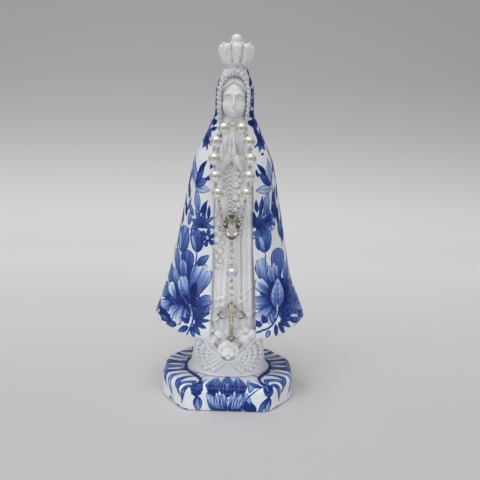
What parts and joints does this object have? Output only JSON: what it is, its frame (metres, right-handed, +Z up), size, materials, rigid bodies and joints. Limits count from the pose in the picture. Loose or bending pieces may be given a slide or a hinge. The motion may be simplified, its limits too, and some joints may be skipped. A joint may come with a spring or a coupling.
{
  "type": "praying madonna statuette with rosary",
  "caption": "Crowned praying madonna in a wide mantle on a cloud base and chamfered plinth, with a pearl rosary hung from its hands.",
  "frame": {"origin": "centre of the plinth's underside", "axes": "+Z up along the figure, the figure faces -Y, +X to the viewer's right"},
  "size_m": [0.0892, 0.061, 0.21],
  "materials": {
    "white_plaster": "satin white paint over cast plaster",
    "painted_glaze": "white varnished plaster with cobalt floral pattern",
    "pearl": "pearlescent lacquer",
    "silver_metal": "bright silver plate"
  },
  "bodies": {
    "statue": {"plinth": "painted_glaze", "cloud_pedestal": "white_plaster", "gown": "white_plaster", "mantle": "painted_glaze", "praying_hands": "white_plaster", "head": "white_plaster", "veil_frill": "white_plaster", "crown": "white_plaster", "crown_orb": "white_plaster", "link_top": "silver_metal"},
    "pin_l1": {"pin_l1": "silver_metal"},
    "pearl_l1": {"pearl_l1": "pearl"},
    "pin_l2": {"pin_l2": "silver_metal"},
    "pearl_l2": {"pearl_l2": "pearl"},
    "pin_l3": {"pin_l3": "silver_metal"},
    "pearl_l3": {"pearl_l3": "pearl"},
    "pin_l4": {"pin_l4": "silver_metal"},
    "pearl_l4": {"pearl_l4": "pearl"},
    "pin_l5": {"pin_l5": "silver_metal"},
    "pearl_l5": {"pearl_l5": "pearl"},
    "link_l1": {"link_l1": "silver_metal"},
    "link_l2": {"link_l2": "silver_metal"},
    "pin_r1": {"pin_r1": "silver_metal"},
    "pearl_r1": {"pearl_r1": "pearl"},
    "pin_r2": {"pin_r2": "silver_metal"},
    "pearl_r2": {"pearl_r2": "pearl"},
    "pin_r3": {"pin_r3": "silver_metal"},
    "pearl_r3": {"pearl_r3": "pearl"},
    "pin_r4": {"pin_r4": "silver_metal"},
    "pearl_r4": {"pearl_r4": "pearl"},
    "pin_r5": {"pin_r5": "silver_metal"},
    "pearl_r5": {"pearl_r5": "pearl"},
    "link_r1": {"link_r1": "silver_metal"},
    "link_r2": {"link_r2": "silver_metal"},
    "medal": {"medal": "silver_metal"},
    "link_p1": {"link_p1": "silver_metal"},
    "link_p2": {"link_p2": "silver_metal"},
    "link_p3": {"link_p3": "silver_metal"},
    "pin_pendant": {"pin_pendant": "silver_metal"},
    "pearl_pendant": {"pearl_pendant": "pearl"},
    "link_p4": {"link_p4": "silver_metal"},
    "link_p5": {"link_p5": "silver_metal"},
    "link_p6": {"link_p6": "silver_metal"},
    "crucifix": {"crucifix": "silver_metal"}
  },
  "joints": [
    {"name": "pin_l1_swing", "type": "hinge", "parent": "statue", "child": "pin_l1", "pos_m": [-0.0027, -0.0145, 0.16256], "axis": [-0.9998, 0, -0.0209], "range_deg": [0, 12]},
    {"name": "pearl_l1_spin", "type": "hinge", "parent": "pin_l1", "child": "pearl_l1", "pos_m": [-0.00527, -0.01674, 0.16009], "axis": [0.6115, 0.5315, 0.5862], "continuous": true},
    {"name": "pin_l2_swing", "type": "hinge", "parent": "pin_l1", "child": "pin_l2", "pos_m": [-0.00834, -0.0194, 0.15715], "axis": [-0.9998, 0, -0.0209], "range_deg": [0, 12]},
    {"name": "pearl_l2_spin", "type": "hinge", "parent": "pin_l2", "child": "pearl_l2", "pos_m": [-0.00917, -0.02077, 0.15326], "axis": [0.1976, 0.3254, 0.9247], "continuous": true},
    {"name": "pin_l3_swing", "type": "hinge", "parent": "pin_l2", "child": "pin_l3", "pos_m": [-0.01016, -0.0224, 0.14863], "axis": [-0.9998, 0, -0.0209], "range_deg": [0, 12]},
    {"name": "pearl_l3_spin", "type": "hinge", "parent": "pin_l3", "child": "pearl_l3", "pos_m": [-0.00984, -0.02313, 0.14449], "axis": [-0.0748, 0.1735, 0.982], "continuous": true},
    {"name": "pin_l4_swing", "type": "hinge", "parent": "pin_l3", "child": "pin_l4", "pos_m": [-0.00947, -0.024, 0.13957], "axis": [-0.9998, 0, -0.0209], "range_deg": [0, 12]},
    {"name": "pearl_l4_spin", "type": "hinge", "parent": "pin_l4", "child": "pearl_l4", "pos_m": [-0.00902, -0.02423, 0.13539], "axis": [-0.1076, 0.0542, 0.9927], "continuous": true},
    {"name": "pin_l5_swing", "type": "hinge", "parent": "pin_l4", "child": "pin_l5", "pos_m": [-0.00848, -0.0245, 0.13042], "axis": [-0.9998, 0, -0.0209], "range_deg": [0, 12]},
    {"name": "pearl_l5_spin", "type": "hinge", "parent": "pin_l5", "child": "pearl_l5", "pos_m": [-0.00766, -0.0245, 0.12629], "axis": [-0.1941, 0, 0.981], "continuous": true},
    {"name": "link_l1_swing", "type": "hinge", "parent": "pin_l5", "child": "link_l1", "pos_m": [-0.00669, -0.0245, 0.12137], "axis": [-0.9998, 0, -0.0209], "range_deg": [0, 12]},
    {"name": "link_l2_swing", "type": "hinge", "parent": "link_l1", "child": "link_l2", "pos_m": [-0.00601, -0.0245, 0.11743], "axis": [-0.9998, 0, -0.0209], "range_deg": [0, 12]},
    {"name": "pin_r1_swing", "type": "hinge", "parent": "statue", "child": "pin_r1", "pos_m": [0.0015, -0.0145, 0.16264], "axis": [-0.9998, 0, -0.0209], "range_deg": [0, 12]},
    {"name": "pearl_r1_spin", "type": "hinge", "parent": "pin_r1", "child": "pearl_r1", "pos_m": [0.00417, -0.01674, 0.16029], "axis": [-0.6355, 0.5315, 0.5601], "continuous": true},
    {"name": "pin_r2_swing", "type": "hinge", "parent": "pin_r1", "child": "pin_r2", "pos_m": [0.00736, -0.0194, 0.15748], "axis": [-0.9998, 0, -0.0209], "range_deg": [0, 12]},
    {"name": "pearl_r2_spin", "type": "hinge", "parent": "pin_r2", "child": "pearl_r2", "pos_m": [0.00835, -0.02077, 0.15363], "axis": [-0.2361, 0.3254, 0.9156], "continuous": true},
    {"name": "pin_r3_swing", "type": "hinge", "parent": "pin_r2", "child": "pin_r3", "pos_m": [0.00954, -0.0224, 0.14904], "axis": [-0.9998, 0, -0.0209], "range_deg": [0, 12]},
    {"name": "pearl_r3_spin", "type": "hinge", "parent": "pin_r3", "child": "pearl_r3", "pos_m": [0.00939, -0.02313, 0.14489], "axis": [0.0336, 0.1735, 0.9843], "continuous": true},
    {"name": "pin_r4_swing", "type": "hinge", "parent": "pin_r3", "child": "pin_r4", "pos_m": [0.00923, -0.024, 0.13996], "axis": [-0.9998, 0, -0.0209], "range_deg": [0, 12]},
    {"name": "pearl_r4_spin", "type": "hinge", "parent": "pin_r4", "child": "pearl_r4", "pos_m": [0.00895, -0.02423, 0.13577], "axis": [0.0659, 0.0542, 0.9964], "continuous": true},
    {"name": "pin_r5_swing", "type": "hinge", "parent": "pin_r4", "child": "pin_r5", "pos_m": [0.00862, -0.0245, 0.13078], "axis": [-0.9998, 0, -0.0209], "range_deg": [0, 12]},
    {"name": "pearl_r5_spin", "type": "hinge", "parent": "pin_r5", "child": "pearl_r5", "pos_m": [0.00797, -0.0245, 0.12662], "axis": [0.1529, 0, 0.9882], "continuous": true},
    {"name": "link_r1_swing", "type": "hinge", "parent": "pin_r5", "child": "link_r1", "pos_m": [0.00721, -0.0245, 0.12167], "axis": [-0.9998, 0, -0.0209], "range_deg": [0, 12]},
    {"name": "link_r2_swing", "type": "hinge", "parent": "link_r1", "child": "link_r2", "pos_m": [0.00669, -0.0245, 0.1177], "axis": [-0.9998, 0, -0.0209], "range_deg": [0, 12]},
    {"name": "medal_swing", "type": "hinge", "parent": "link_l2", "child": "medal", "pos_m": [-0.00532, -0.0245, 0.11349], "axis": [-0.9998, 0, -0.0209], "range_deg": [-1, 12]},
    {"name": "link_p1_swing", "type": "hinge", "parent": "medal", "child": "link_p1", "pos_m": [0.00075, -0.0245, 0.0981], "axis": [-0.9998, 0, -0.0209], "range_deg": [0, 12]},
    {"name": "link_p2_sway", "type": "hinge", "parent": "link_p1", "child": "link_p2", "pos_m": [0.00083, -0.0245, 0.0941], "axis": [0, 1, 0], "range_deg": [-6, 6]},
    {"name": "link_p3_swing", "type": "hinge", "parent": "link_p2", "child": "link_p3", "pos_m": [0.00092, -0.0245, 0.0901], "axis": [-0.9998, 0, -0.0209], "range_deg": [0, 12]},
    {"name": "pin_pendant_swing", "type": "hinge", "parent": "link_p3", "child": "pin_pendant", "pos_m": [0.001, -0.0245, 0.0861], "axis": [-0.9998, 0, -0.0209], "range_deg": [0, 12]},
    {"name": "pearl_pendant_spin", "type": "hinge", "parent": "pin_pendant", "child": "pearl_pendant", "pos_m": [0.00109, -0.0245, 0.08189], "axis": [-0.0209, 0, 0.9998], "continuous": true},
    {"name": "link_p4_swing", "type": "hinge", "parent": "pin_pendant", "child": "link_p4", "pos_m": [0.0012, -0.0245, 0.07688], "axis": [-0.9998, 0, -0.0209], "range_deg": [0, 12]},
    {"name": "link_p5_sway", "type": "hinge", "parent": "link_p4", "child": "link_p5", "pos_m": [0.00128, -0.0245, 0.07288], "axis": [0, 1, 0], "range_deg": [-6, 6]},
    {"name": "link_p6_swing", "type": "hinge", "parent": "link_p5", "child": "link_p6", "pos_m": [0.00136, -0.0245, 0.06888], "axis": [-0.9998, 0, -0.0209], "range_deg": [0, 12]},
    {"name": "crucifix_swing", "type": "hinge", "parent": "link_p6", "child": "crucifix", "pos_m": [0.00145, -0.0245, 0.06488], "axis": [-0.9998, 0, -0.0209], "range_deg": [-2, 15]}
  ],
  "couplings": [
    {"joint": "pin_r1_swing", "follows": "pin_l1_swing", "ratio": 1},
    {"joint": "pin_r2_swing", "follows": "pin_l2_swing", "ratio": 1},
    {"joint": "pin_r3_swing", "follows": "pin_l3_swing", "ratio": 1},
    {"joint": "pin_r4_swing", "follows": "pin_l4_swing", "ratio": 1},
    {"joint": "pin_r5_swing", "follows": "pin_l5_swing", "ratio": 1},
    {"joint": "link_r1_swing", "follows": "link_l1_swing", "ratio": 1},
    {"joint": "link_r2_swing", "follows": "link_l2_swing", "ratio": 1}
  ]
}
